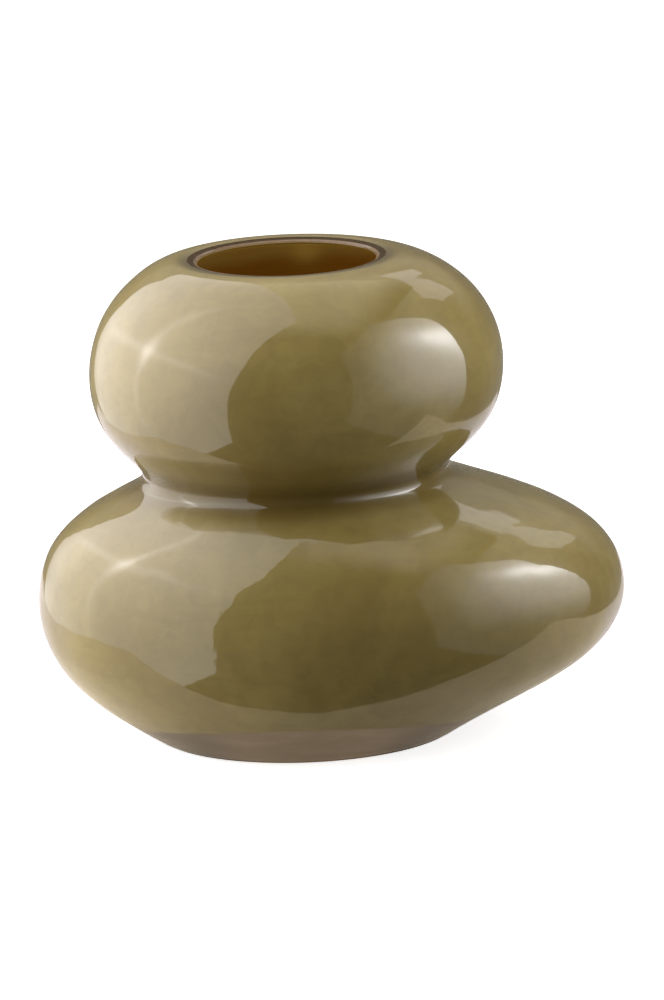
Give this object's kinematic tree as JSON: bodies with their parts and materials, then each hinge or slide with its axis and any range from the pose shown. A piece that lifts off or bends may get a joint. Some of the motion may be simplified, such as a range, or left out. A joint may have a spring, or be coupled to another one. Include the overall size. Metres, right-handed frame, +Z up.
{
  "type": "glass vase",
  "caption": "Blown cased-glass vase of stacked pebble shapes, olive outside and amber inside, with a round ground mouth, a drawn-in waist and a flat foot, for water and stems.",
  "frame": {"origin": "middle of the flat ground foot, on the surface that the vase stands on", "axes": "+Z up through the mouth, +X towards the side that the lower pebble is drawn out to, the right in the picture, +Y to the back"},
  "size_m": [0.24, 0.1972, 0.1971],
  "materials": {
    "clear_glass": "polished, clear",
    "olive_glass": "opaque, glossy",
    "amber_glass": "deep amber, glossy"
  },
  "bodies": {
    "root": {"clear_casing": "clear_glass", "olive_layer": "olive_glass", "amber_lining": "amber_glass"}
  },
  "joints": []
}
